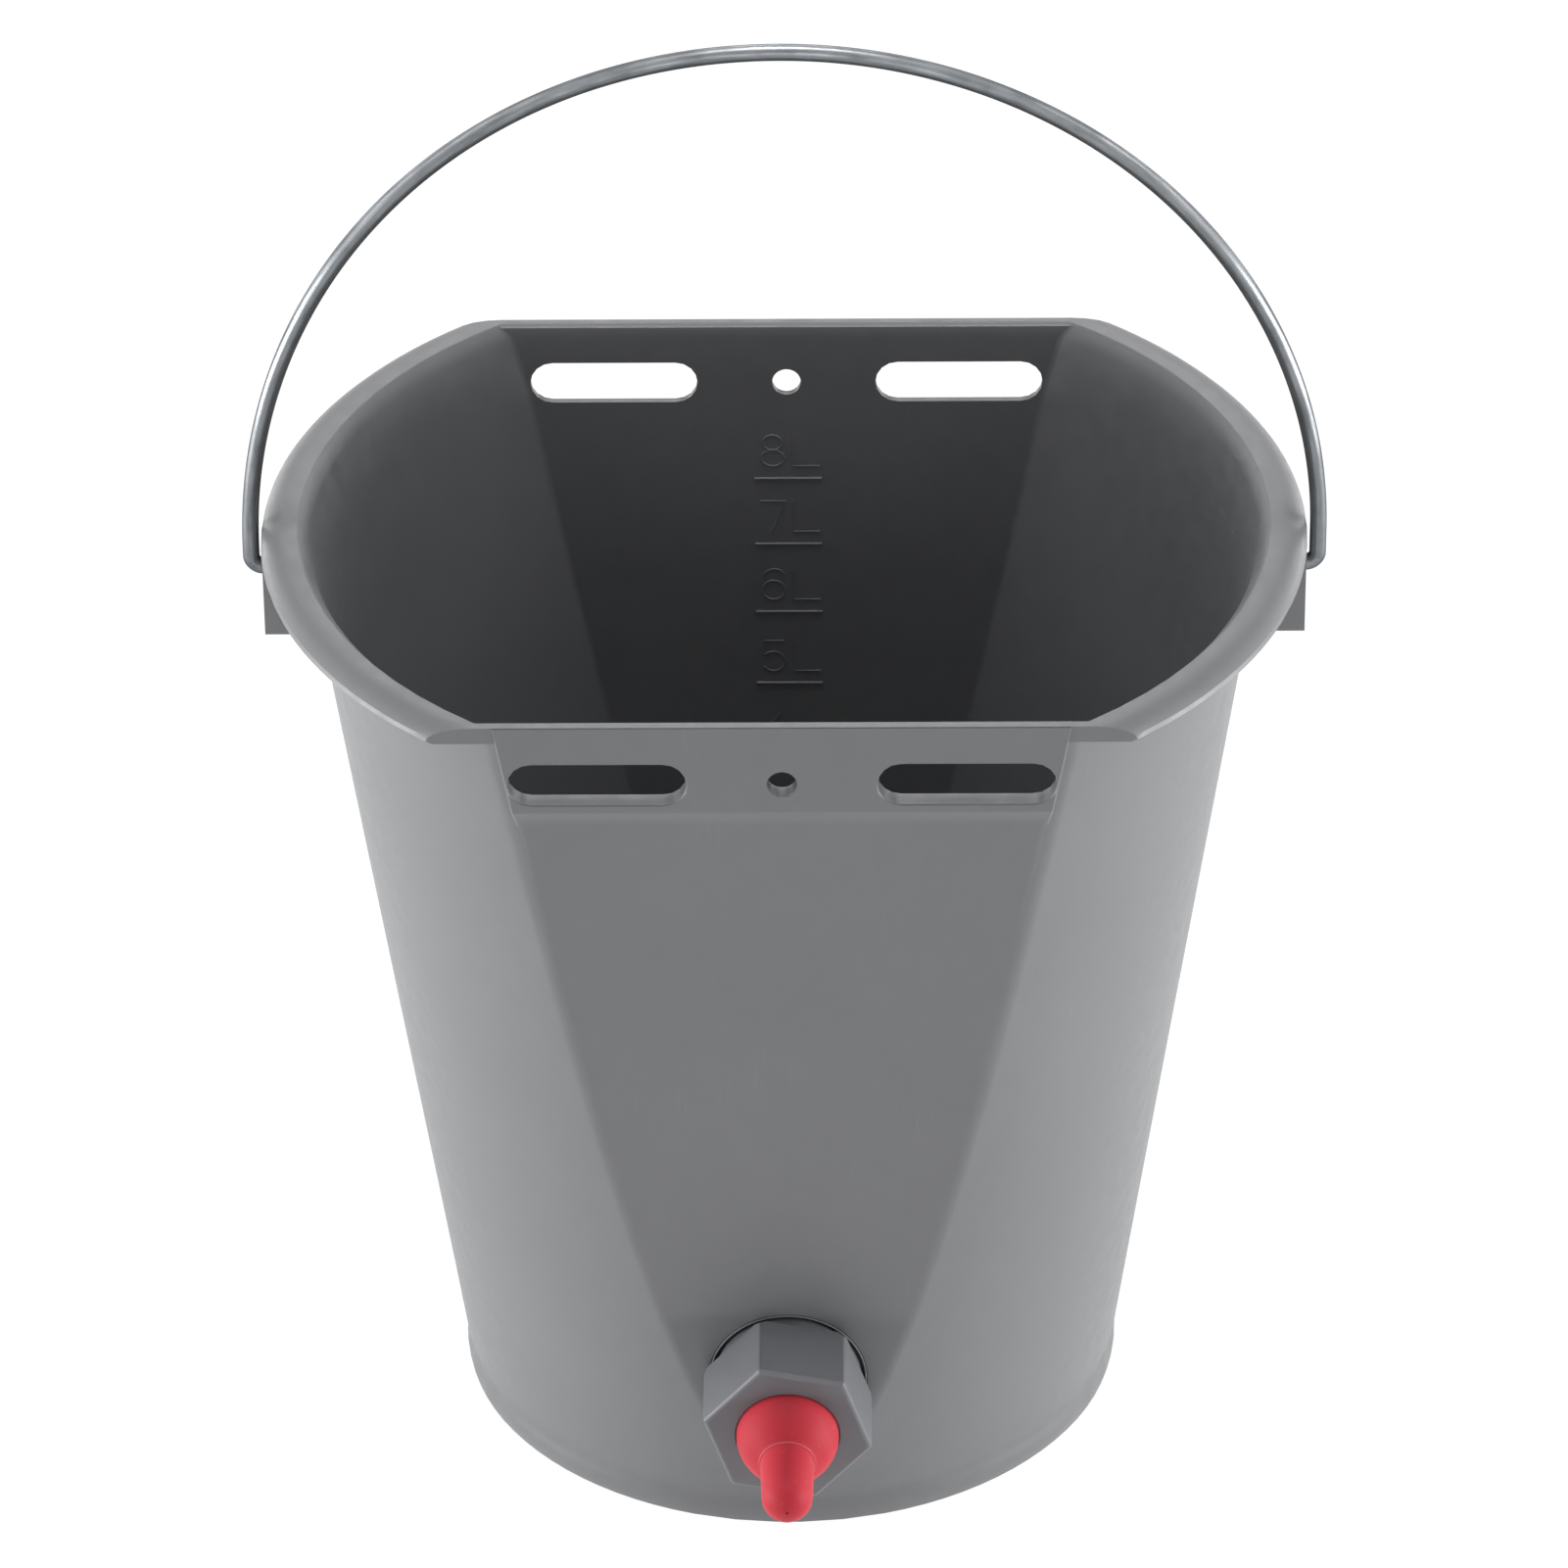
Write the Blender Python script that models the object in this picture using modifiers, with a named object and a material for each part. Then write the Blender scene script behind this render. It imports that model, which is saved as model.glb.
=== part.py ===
"""Teat feeder bucket: moulded bucket, wire bail, and a screwed outlet with valve and rubber teat.

Metres, +Z up. The origin is the middle of the base, on the ground plane. The teat points to -Y,
the ears of the bail are at -X and +X, and the bail is raised.
"""

from math import acos, asin, atan2, ceil, cos, pi, radians, sin, sqrt, tan

import bmesh
import bpy
from mathutils import Matrix, Vector

# Bucket wall
HEIGHT = 0.283              # ground to the top of the rim
WALL = 0.0022               # wall of the round sides and of the flat panels
RIM_RADIUS = 0.1360         # outside of the round wall, carried up to the rim
BASE_RADIUS = 0.0957        # outside of the round wall, carried down to the ground
FLAT_RIM = 0.1097           # outside of a flat panel from the middle, carried up to the rim
FLAT_LEAN = radians(2.6)    # a flat panel leans in by this towards the base
CREASE_RADIUS = 0.010       # blend from the flat panel to the round wall, outside
INNER_CREASE = 0.0035       # and inside
FLOOR_TOP = 0.018           # inside of the floor above the ground
FLOOR_THICK = 0.0026
FLOOR_BLEND = 0.006         # fillet from the floor to the wall, inside

# Foot and underside
FOOT_STEP = 0.0022          # the foot stands out of the wall, carried down, by this
FOOT_BAND = 0.0032          # height of its widest line, rounded under below it
FOOT_UNDER = 0.0006         # the rounding takes this off the radius at the ground
FOOT_HEIGHT = 0.0095        # above the widest line it runs out into the wall, up to here
FOOT_FADE = 0.045           # it fades out towards the two sides, from this far along Y
HUB_RADIUS = 0.013          # round boss in the middle of the underside
RIB_THICK = 0.0020
RIB_COUNT = 6
RIB_RISE = 0.0020           # the ribs end this far above the ground

# Lip on the round sides
LIP_RADIUS = RIM_RADIUS + 0.0120
LIP_DEPTH = 0.0050
LIP_DROP = 0.0042           # height of the curved top, crest to outer edge
LIP_CREST = RIM_RADIUS + 0.0035     # radius of the highest line of the lip
LIP_FLARE = 0.0044          # the inner edge slopes down to the wall over this height
LIP_BROW = RIM_RADIUS + 0.0013      # radius at which the slope starts
LIP_BROW_EDGE = 0.0005
FLARE_CORNER = 0.0020       # blend between the slope and a flat panel
THIN_WALL = 0.0013          # the round wall is thinner under the slope
THIN_REACH = 0.0170         # and has its full thickness this far below it
LIP_END = FLAT_RIM + 0.0020         # end faces of the lip, from the middle
LIP_CORNER = 0.0010
RIM_ROUNDING = 0.0026       # inner edge of the rim along a flat panel
CHANNEL_SKIN = 0.0022       # plastic left round the groove under the lip
CHANNEL_DEPTH = 0.0022
CHANNEL_EAR_GAP = 0.0130    # the groove stops this far from the middle of an ear
CHANNEL_END_GAP = 0.0060    # and this far short of the end faces

# Hanging slots, bolt hole and the pad round them
PAD_FACE = FLAT_RIM + 0.0023        # upright front face of the pad, from the middle
PAD_BOTTOM = HEIGHT - 0.0275        # lower edge of that face
PAD_TAPER_END = HEIGHT - 0.0347     # the pad has run out to the panel here
PAD_MARGIN = 0.0011         # the pad stays inside the panel's edge by this
FINE_EDGE = 0.0004          # broken edges of the pad, its slots and the outlet's recess
SLOT_LENGTH = 0.0491
SLOT_WIDTH = 0.0130
SLOT_OFFSET = 0.0507        # middle of a slot from the middle of the panel
SLOT_HEIGHT = HEIGHT - 0.0185       # middle of the slots above the ground
BOLT_HOLE_RADIUS = 0.0042

# Ears
EAR_FACE = LIP_RADIUS - 0.0003      # outer face of an ear from the middle
EAR_WIDTH = 0.0150
EAR_BOTTOM = HEIGHT - 0.0343
EAR_WALL = 0.0025
PIVOT_HEIGHT = HEIGHT - 0.0158      # line of the two bail holes

# Bail
WIRE_RADIUS = 0.0024
WIRE_CLEARANCE = 0.00035    # round the wire in its hole
BAIL_HALF_SPAN = LIP_RADIUS + 0.0032    # middle of a leg from the middle
BAIL_RISE = 0.1639          # pivot line to the middle of the wire at the top
BAIL_CORNER = 0.0034        # bend from a leg to its end
BAIL_HEAD_RADIUS = 0.0036   # end of the wire, peened over inside the ear
BAIL_HEAD_LENGTH = 0.0020
BAIL_HEAD_GAP = 0.0006
# The wire is bent by hand: the two shoulders differ a little.
BAIL_SHOULDERS = {-1: (0.0059, 2.047), 1: (0.0111, 2.0)}   # side: start over the pivot, fullness

# Side dimple
DIMPLE_RADIUS = 0.0070
DIMPLE_DEPTH = 0.0011
DIMPLE_HEIGHT = 0.0370

# Outlet: distances run outwards from the face of the front panel
OUTLET_HEIGHT = 0.0539      # axis above the ground, at the panel's face
SEAT_RADIUS = 0.0225        # round recess in the wall
SEAT_DEPTH = 0.0030
BOSS_RADIUS = 0.0265        # thickening behind the recess, inside the bucket
SEAT_WALL = 0.0028          # left between the recess and the inside
FIT_GAP = 0.0003            # between faces that rest on each other
HOLE_CLEARANCE = 0.0005     # round the barrel in the wall

THREAD_PITCH = 0.0040
THREAD_ROOT = 0.0169        # barrel, bottom of the thread
THREAD_CREST = 0.0183       # barrel, top of the thread
THREAD_CLEARANCE = 0.0004   # radial, between the two threads
THREAD_ROOT_WIDTH = 0.0026
THREAD_CREST_WIDTH = 0.0012
NUT_RIDGE_ROOT_WIDTH = 0.0022
NUT_RIDGE_CREST_WIDTH = 0.0008

NUT_FLATS = 0.0428          # across flats
NUT_BACK = 0.0030           # back of the hexagon
NUT_FACE = 0.0262           # front face
NUT_ROUNDING = 0.0015       # radius round the front face
NUT_CORNER = 0.0010         # width of the cut along each of the six corners,
NUT_BACK_CORNER = 0.0034    # and where it widens at the back
NUT_BACK_CUT = 0.0012       # over this length
NUT_TURN = radians(48.6)    # one corner of the hexagon, anticlockwise from +X seen from the front
NUT_COLLAR_GAP = 0.0003     # the round collar is this much inside the flats
NUT_FRONT_WALL = 0.0038
NUT_MOUTH = 0.0150          # radius of the hole for the teat

OUTER_SEAL_THICK = 0.0015
OUTER_SEAL_MARGIN = 0.0005  # inside the recess
INNER_SEAL_THICK = 0.0018
FLANGE_RADIUS = 0.0250
FLANGE_THICK = 0.0030
INLET_RADIUS = 0.0060
CHAMBER_RADIUS = 0.0120
GUIDE_RIBS = 4
GUIDE_THICK = 0.0020
BALL_RADIUS = 0.0090
BALL_GUIDE_GAP = 0.0004
BALL_TRAVEL = 0.0050
CAGE_RADIUS = 0.0138
CAGE_THICK = 0.0026
CAGE_HOLE_RADIUS = 0.0026
CAGE_HOLE_CIRCLE = 0.0078
CAGE_HOLES = 6

# Teat
TEAT_FLANGE_RADIUS = 0.0170
TEAT_FLANGE_THICK = 0.0025
TEAT_DOME_RADIUS = 0.0147
TEAT_NECK_GAP = 0.0003      # in the mouth of the nut
NIPPLE_ROOT_RADIUS = 0.0077
NIPPLE_TIP_RADIUS = 0.0073
NIPPLE_TIP_CENTRE = 0.0272  # from the nut's face to the middle of the round tip
NIPPLE_FILLET = 0.0022
TEAT_WALL = 0.0024
NIPPLE_BORE = 0.0046
NIPPLE_TIP_WALL = 0.0032
MILK_HOLE_RADIUS = 0.0004

ARC_STEPS = 12              # steps of a quarter of the bucket's outline: round part,
BLEND_STEPS = 3             # crease,
LINE_STEPS = 3              # and half a flat panel
TURN_STEPS = 48


def remove_objects():
    for old in list(bpy.data.objects):
        bpy.data.objects.remove(old, do_unlink=True)


def new_collection(name):
    collection = bpy.data.collections.new(name)
    bpy.context.scene.collection.children.link(collection)
    return collection


def plain_material(name, colour, roughness, metallic=0.0):
    material = bpy.data.materials.new(name)
    material.use_nodes = True
    shader = material.node_tree.nodes["Principled BSDF"]
    shader.inputs["Base Color"].default_value = (*colour, 1.0)
    shader.inputs["Roughness"].default_value = roughness
    shader.inputs["Metallic"].default_value = metallic
    return material


def add_object(name, data, collection, parent=None, material=None):
    obj = bpy.data.objects.new(name, data)
    collection.objects.link(obj)
    obj.parent = parent
    if material:
        data.materials.append(material)
    return obj


def smooth_faces(mesh, angle=radians(35)):
    mesh.shade_smooth()
    mesh.set_sharp_from_angle(angle=angle)


def loft(name, sections, cap_ends=True):
    """A mesh through closed sections that each hold the same number of points."""
    work = bmesh.new()
    loops = [[work.verts.new(point) for point in section] for section in sections]
    for lower, upper in zip(loops, loops[1:]):
        for index in range(len(lower)):
            after = (index + 1) % len(lower)
            work.faces.new((lower[index], lower[after], upper[after], upper[index]))
    if cap_ends:
        work.faces.new(list(reversed(loops[0])))
        work.faces.new(loops[-1])
    bmesh.ops.recalc_face_normals(work, faces=work.faces)
    mesh = bpy.data.meshes.new(name)
    work.to_mesh(mesh)
    work.free()
    return mesh


def turned(name, profile, collection, parent, material=None, steps=TURN_STEPS):
    """A closed profile of (radius, distance) turned round the local Z axis.

    The profile runs down its outer side first, from the far end to the near one.
    """
    mesh = bpy.data.meshes.new(name)
    points = [(radius, 0.0, distance) for radius, distance in profile]
    edges = [(index, (index + 1) % len(points)) for index in range(len(points))]
    mesh.from_pydata(points, edges, [])
    obj = add_object(name, mesh, collection, parent, material)
    screw = obj.modifiers.new("turn", "SCREW")
    screw.axis = "Z"
    screw.steps = steps
    screw.render_steps = steps
    screw.use_merge_vertices = True
    screw.merge_threshold = 0.00001
    screw.use_smooth_shade = True
    return obj


def cylinder_mesh(name, radius, start, end, steps=TURN_STEPS, widen=0.0):
    """A cylinder along the local Z axis, from start to end, where it may be wider."""
    work = bmesh.new()
    place = Matrix.Translation((0, 0, (start + end) / 2))
    bmesh.ops.create_cone(work, cap_ends=True, segments=steps, radius1=radius, radius2=radius + widen,
                          depth=end - start, matrix=place)
    mesh = bpy.data.meshes.new(name)
    work.to_mesh(mesh)
    work.free()
    return mesh


def box_mesh(name, low, high):
    work = bmesh.new()
    bmesh.ops.create_cube(work, size=1.0)
    size = Vector(high) - Vector(low)
    middle = (Vector(high) + Vector(low)) / 2
    bmesh.ops.scale(work, vec=size, verts=work.verts)
    bmesh.ops.translate(work, vec=middle, verts=work.verts)
    mesh = bpy.data.meshes.new(name)
    work.to_mesh(mesh)
    work.free()
    return mesh


def hide_guide(obj):
    obj.hide_render = True
    obj.display_type = "WIRE"


def combine(target, tool, operation):
    """Join a guide shape to the target, or cut it away."""
    hide_guide(tool)
    change = target.modifiers.new(tool.name, "BOOLEAN")
    change.operation = operation
    change.solver = "EXACT"
    change.object = tool


def wall_radius(height):
    return BASE_RADIUS + (RIM_RADIUS - BASE_RADIUS) * height / HEIGHT


def flat_distance(height):
    return FLAT_RIM - (HEIGHT - height) * tan(FLAT_LEAN)


def flat_half_width(height):
    """Half the width of the outside of a flat panel, before its creases are rounded."""
    return sqrt(max(wall_radius(height) ** 2 - flat_distance(height) ** 2, 0.0))


def outline(radius, flat, height, blend):
    """A level section: a circle cut by two flats, with the corners rounded."""
    flat = min(flat, radius - 0.00005)
    centre_y = flat - blend
    centre_x = sqrt((radius - blend) ** 2 - centre_y ** 2)
    crease_angle = atan2(centre_y, centre_x)
    quarter = []
    for step in range(ARC_STEPS):
        angle = crease_angle * step / ARC_STEPS
        quarter.append((radius * cos(angle), radius * sin(angle)))
    for step in range(BLEND_STEPS):
        angle = crease_angle + (pi / 2 - crease_angle) * step / BLEND_STEPS
        quarter.append((centre_x + blend * cos(angle), centre_y + blend * sin(angle)))
    for step in range(LINE_STEPS):
        quarter.append((centre_x * (1 - step / LINE_STEPS), flat))
    quarter.append((0.0, flat))
    back = quarter + [(-x, y) for x, y in reversed(quarter[:-1])]
    ring = back + [(x, -y) for x, y in reversed(back[1:-1])]
    return [(x, y, height) for x, y in ring]


def bucket_sections():
    """Sections of the shell, from the underside of the floor, up the outside and down the inside."""
    round_only = LIP_RADIUS
    skirt_top = FLOOR_TOP - FLOOR_THICK
    foot = BASE_RADIUS + FOOT_STEP

    def outside(height):
        return outline(wall_radius(height), flat_distance(height), height, CREASE_RADIUS)

    flare_end = HEIGHT - LIP_FLARE

    def inside(height, inset=0.0):
        fullness = min(1.0, max(0.0, (flare_end - height) / THIN_REACH))
        radius = wall_radius(height) - (THIN_WALL + (WALL - THIN_WALL) * fullness) - inset
        return outline(radius, flat_distance(height) - WALL - inset, height, INNER_CREASE)

    sections = [inside(skirt_top)]
    sections.append(outline(BASE_RADIUS - WALL, round_only, 0.0, CREASE_RADIUS))
    foot_profile = []
    for step in range(3):
        part = 1 - step / 3
        foot_profile.append((foot - FOOT_UNDER * part ** 2, FOOT_BAND * (1 - part)))
    for step in range(6):
        part = step / 5
        height = FOOT_BAND + (FOOT_HEIGHT - FOOT_BAND) * part
        swell = (foot - wall_radius(FOOT_BAND)) * (1 - part) ** 2 * (1 + 2 * part)
        foot_profile.append((wall_radius(height) + swell, height))
    for radius, height in foot_profile:
        bare = wall_radius(height) / radius
        ring = []
        for x, y, z in outline(radius, round_only, height, CREASE_RADIUS):
            share = bare + (1 - bare) * sqrt(min(1.0, abs(y) / FOOT_FADE))
            ring.append((x * share, y * share, z))
        sections.append(ring)

    # The flats start a little above the foot, where their edges spread fastest.
    under_lip = HEIGHT - LIP_DEPTH
    levels = [FOOT_HEIGHT + (under_lip - FOOT_HEIGHT) * (step / 11) ** 1.8 for step in range(1, 12)]
    sections += [outside(height) for height in levels]

    sections.append(outline(LIP_RADIUS - LIP_CORNER, LIP_END, under_lip, LIP_CORNER))
    shoulder = HEIGHT - LIP_DROP
    for step in range(6):
        angle = pi / 2 * step / 5
        radius = LIP_CREST + (LIP_RADIUS - LIP_CREST) * cos(angle)
        height = shoulder + LIP_DROP * sin(angle)
        sections.append(outline(radius, LIP_END, height, LIP_CORNER))

    slope = [
        (LIP_BROW + LIP_BROW_EDGE, HEIGHT, RIM_ROUNDING),
        (LIP_BROW, HEIGHT - LIP_BROW_EDGE * 0.4, RIM_ROUNDING * 0.5),
        (LIP_BROW - LIP_BROW_EDGE, HEIGHT - LIP_BROW_EDGE * 1.4, RIM_ROUNDING * 0.2),
    ]
    for radius, height, back in slope:
        sections.append(outline(radius, flat_distance(height) - WALL + back, height, FLARE_CORNER))

    floor_edge = FLOOR_TOP + FLOOR_BLEND
    sections += [inside(flare_end), inside(flare_end - THIN_REACH / 2)]
    full = flare_end - THIN_REACH
    sections += [inside(full - (full - floor_edge) * step / 7) for step in range(8)]
    for step in (1, 2, 3):
        angle = pi / 2 * step / 3
        height = floor_edge - FLOOR_BLEND * sin(angle)
        sections.append(inside(height, FLOOR_BLEND * (1 - cos(angle))))
    return sections


def bucket_pad(guides):
    """Thickening of the front panel round its slots."""
    levels = [
        (HEIGHT - FIT_GAP, PAD_FACE),
        (PAD_BOTTOM + FINE_EDGE, PAD_FACE),
        (PAD_BOTTOM - FINE_EDGE, PAD_FACE - FINE_EDGE / 2),
        (PAD_TAPER_END, flat_distance(PAD_TAPER_END) - FIT_GAP),
    ]
    sections = []
    for height, face in levels:
        half = flat_half_width(height) - PAD_MARGIN
        back = flat_distance(height) - WALL / 2
        corner = face - FINE_EDGE
        sections.append([(-half, -corner, height), (FINE_EDGE - half, -face, height),
                         (half - FINE_EDGE, -face, height), (half, -corner, height),
                         (half, -back, height), (-half, -back, height)])
    return add_object("pad", loft("pad", sections), guides)


def slot_cutter(name, side, guides):
    """A stadium cut right through both panels, its edge broken on the face of the pad."""
    reach = (SLOT_LENGTH - SLOT_WIDTH) / 2
    steps = 8
    sections = []
    for y, spread in ((-PAD_FACE - FINE_EDGE, 2 * FINE_EDGE), (FINE_EDGE - PAD_FACE, 0.0), (LIP_RADIUS, 0.0)):
        end_radius = SLOT_WIDTH / 2 + spread
        ring = []
        for centre, first in ((reach, -pi / 2), (-reach, pi / 2)):
            for step in range(steps + 1):
                angle = first + pi * step / steps
                x = side * SLOT_OFFSET + centre + end_radius * cos(angle)
                ring.append((x, y, SLOT_HEIGHT + end_radius * sin(angle)))
        sections.append(ring)
    return add_object(name, loft(name, sections), guides)


def ear_block(side, guides):
    """A box under the lip, fused to the wall."""
    sections = []
    for height in (EAR_BOTTOM, HEIGHT - LIP_DEPTH + 0.0008):
        inner = wall_radius(height) - WALL / 2
        sections.append(ear_rectangle(side, inner, EAR_FACE, EAR_WIDTH / 2, height))
    name = "ear_block_left" if side < 0 else "ear_block_right"
    return add_object(name, loft(name, sections), guides)


def ear_hollow(side, guides):
    """The space inside an ear, open below."""
    sections = []
    for height in (EAR_BOTTOM - 0.002, HEIGHT - LIP_DEPTH + 0.0003):
        inner = wall_radius(height) + 0.0006
        half = EAR_WIDTH / 2 - EAR_WALL
        sections.append(ear_rectangle(side, inner, EAR_FACE - EAR_WALL, half, height))
    name = "ear_hollow_left" if side < 0 else "ear_hollow_right"
    return add_object(name, loft(name, sections), guides)


def ear_rectangle(side, inner, outer, half, height):
    return [(side * inner, -half, height), (side * outer, -half, height),
            (side * outer, half, height), (side * inner, half, height)]


def channel_cutter(index, side, end, guides):
    """A quarter of the groove that runs under the lip between an ear and an end face."""
    inner = wall_radius(HEIGHT) + CHANNEL_SKIN
    outer = LIP_RADIUS - CHANNEL_SKIN
    low = HEIGHT - LIP_DEPTH - 0.001
    high = HEIGHT - LIP_DEPTH + CHANNEL_DEPTH
    first = asin(CHANNEL_EAR_GAP / LIP_RADIUS)
    last = asin((LIP_END - CHANNEL_END_GAP) / LIP_RADIUS)
    steps = 9
    sections = []
    for step in range(steps + 1):
        angle = first + (last - first) * step / steps
        across, along = side * cos(angle), end * sin(angle)
        sections.append([(radius * across, radius * along, height)
                         for radius, height in ((inner, low), (outer, low), (outer, high), (inner, high))])
    return add_object("channel_%d" % index, loft("channel", sections), guides)


def cross_bar(name, radius, height, guides, steps=32):
    """A cylinder along Y through both panels."""
    obj = add_object(name, cylinder_mesh(name, radius, -LIP_RADIUS, LIP_RADIUS, steps), guides)
    obj.location.z = height
    obj.rotation_euler.x = pi / 2
    return obj


def bail_hole(side, guides):
    name = "bail_hole_left" if side < 0 else "bail_hole_right"
    start = EAR_FACE - EAR_WALL - 0.002
    obj = add_object(name, cylinder_mesh(name, WIRE_RADIUS + WIRE_CLEARANCE, start, EAR_FACE + 0.002, 20),
                     guides)
    obj.location.z = PIVOT_HEIGHT
    obj.rotation_euler.y = side * pi / 2
    return obj


def side_dimple(guides):
    """A shallow round recess in the wall on the +X side, low down."""
    surface = wall_radius(DIMPLE_HEIGHT)
    mesh = cylinder_mesh("side_dimple", DIMPLE_RADIUS, -DIMPLE_DEPTH, 0.004, 32)
    obj = add_object("side_dimple", mesh, guides)
    obj.location = (surface, 0.0, DIMPLE_HEIGHT)
    slope = atan2(RIM_RADIUS - BASE_RADIUS, HEIGHT)
    obj.rotation_euler.y = pi / 2 + slope
    return obj


def make_bucket(parts, guides, outlet, material):
    mesh = loft("bucket", bucket_sections())
    bucket = add_object("bucket", mesh, parts, material=material)

    joined = [bucket_pad(guides), ear_block(-1, guides), ear_block(1, guides)]
    hub = cylinder_mesh("hub", HUB_RADIUS, 0.0, FLOOR_TOP - FLOOR_THICK / 2, 32)
    joined.append(add_object("hub", hub, guides))
    rib_reach = BASE_RADIUS - WALL / 2
    for index in range(RIB_COUNT // 2):
        rib = box_mesh("rib", (-rib_reach, -RIB_THICK / 2, RIB_RISE),
                       (rib_reach, RIB_THICK / 2, FLOOR_TOP - FLOOR_THICK / 2))
        bar = add_object("rib_%d" % index, rib, guides)
        bar.rotation_euler.z = pi * index / (RIB_COUNT // 2)
        joined.append(bar)
    boss = cylinder_mesh("boss", BOSS_RADIUS, -(SEAT_DEPTH + SEAT_WALL), -WALL / 2)
    joined.append(add_object("boss", boss, guides, outlet))
    for tool in joined:
        combine(bucket, tool, "UNION")

    cuts = [slot_cutter("slots_left", -1, guides), slot_cutter("slots_right", 1, guides)]
    cuts.append(cross_bar("bolt_holes", BOLT_HOLE_RADIUS, SLOT_HEIGHT, guides))
    for side in (-1, 1):
        cuts += [ear_hollow(side, guides), bail_hole(side, guides)]
    quarters = [(side, end) for side in (-1, 1) for end in (-1, 1)]
    cuts += [channel_cutter(index, *quarter, guides) for index, quarter in enumerate(quarters)]
    seat = cylinder_mesh("seat", SEAT_RADIUS, -SEAT_DEPTH, SEAT_DEPTH, 64)
    cuts.append(add_object("seat", seat, guides, outlet))
    rim = cylinder_mesh("seat_edge", SEAT_RADIUS, -FINE_EDGE, FINE_EDGE, 64, widen=2 * FINE_EDGE)
    cuts.append(add_object("seat_edge", rim, guides, outlet))
    hole = cylinder_mesh("barrel_hole", THREAD_CREST + HOLE_CLEARANCE, -0.02, 0.01)
    cuts.append(add_object("barrel_hole", hole, guides, outlet))
    cuts.append(side_dimple(guides))
    for tool in cuts:
        combine(bucket, tool, "DIFFERENCE")
    return bucket


def shoulder_point(side, angle):
    """A point of the bail's hoop in its own plane: across, and height over the pivot line."""
    start, fullness = BAIL_SHOULDERS[side]
    across = BAIL_HALF_SPAN * cos(angle) ** (2 / fullness)
    height = start + (BAIL_RISE - start) * sin(angle) ** (2 / fullness)
    return side * across, height


def bail_route():
    """Middle of the wire, from one peened end over the hoop to the other: (x, height, wire scale)."""
    inner_face = EAR_FACE - EAR_WALL
    head_end = inner_face - BAIL_HEAD_GAP
    head = BAIL_HEAD_RADIUS / WIRE_RADIUS
    halves = {}
    for side in (-1, 1):
        half = [
            (side * (head_end - BAIL_HEAD_LENGTH), 0.0, head),
            (side * head_end, 0.0, head),
            (side * (head_end + 0.0001), 0.0, 1.0),
        ]
        for step in range(6):
            angle = pi / 2 * step / 5
            x = BAIL_HALF_SPAN - BAIL_CORNER * (1 - sin(angle))
            half.append((side * x, BAIL_CORNER * (1 - cos(angle)), 1.0))
        for step in range(1, 26):
            x, height = shoulder_point(side, pi / 2 * step / 26)
            if height > BAIL_CORNER + WIRE_RADIUS:
                half.append((x, height, 1.0))
        halves[side] = half
    return halves[-1] + [(0.0, BAIL_RISE, 1.0)] + list(reversed(halves[1]))


def make_bail(parts, material):
    data = bpy.data.curves.new("bail", "CURVE")
    data.dimensions = "3D"
    data.bevel_depth = WIRE_RADIUS
    data.bevel_resolution = 2
    data.use_fill_caps = True
    spline = data.splines.new("POLY")
    route = bail_route()
    spline.points.add(len(route) - 1)
    for point, (x, height, scale) in zip(spline.points, route):
        point.co = (x, 0.0, height, 1.0)
        point.radius = scale
    bail = add_object("bail", data, parts, material=material)
    bail.location.z = PIVOT_HEIGHT
    return bail


def thread_ridge(name, base, top, base_width, top_width, start, end, guides, parent, phase=0.0):
    """A right-handed ridge wound round the outlet's axis, sunk a little into what carries it."""
    sink = 0.0003 if top > base else -0.0003
    turns = (end - start) / THREAD_PITCH
    steps = ceil(turns * 32)
    sections = []
    for step in range(steps + 1):
        part = step / steps
        angle = 2 * pi * turns * part + phase
        middle = start + (end - start) * part
        taper = min(1.0, 8 * min(part, 1 - part) * turns + 0.15)
        crest = base + (top - base) * taper
        shape = [(base - sink, middle - base_width / 2), (crest, middle - top_width / 2),
                 (crest, middle + top_width / 2), (base - sink, middle + base_width / 2)]
        sections.append([(radius * cos(angle), radius * sin(angle), distance)
                         for radius, distance in shape])
    return add_object(name, loft(name, sections), guides, parent)


def barrel_end():
    """Front end of the valve body's barrel."""
    return NUT_FACE - NUT_FRONT_WALL - TEAT_FLANGE_THICK - 2 * FIT_GAP


def flange_face():
    """Face of the valve body's flange, behind the inner seal."""
    return -(SEAT_DEPTH + SEAT_WALL) - INNER_SEAL_THICK - 2 * FIT_GAP


def cage_back():
    return barrel_end() - FIT_GAP - CAGE_THICK


def ball_rest():
    """Middle of the ball on its seat, so that the ball can rise by its travel before the cage."""
    return cage_back() - FIT_GAP - BALL_TRAVEL - BALL_RADIUS


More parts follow.
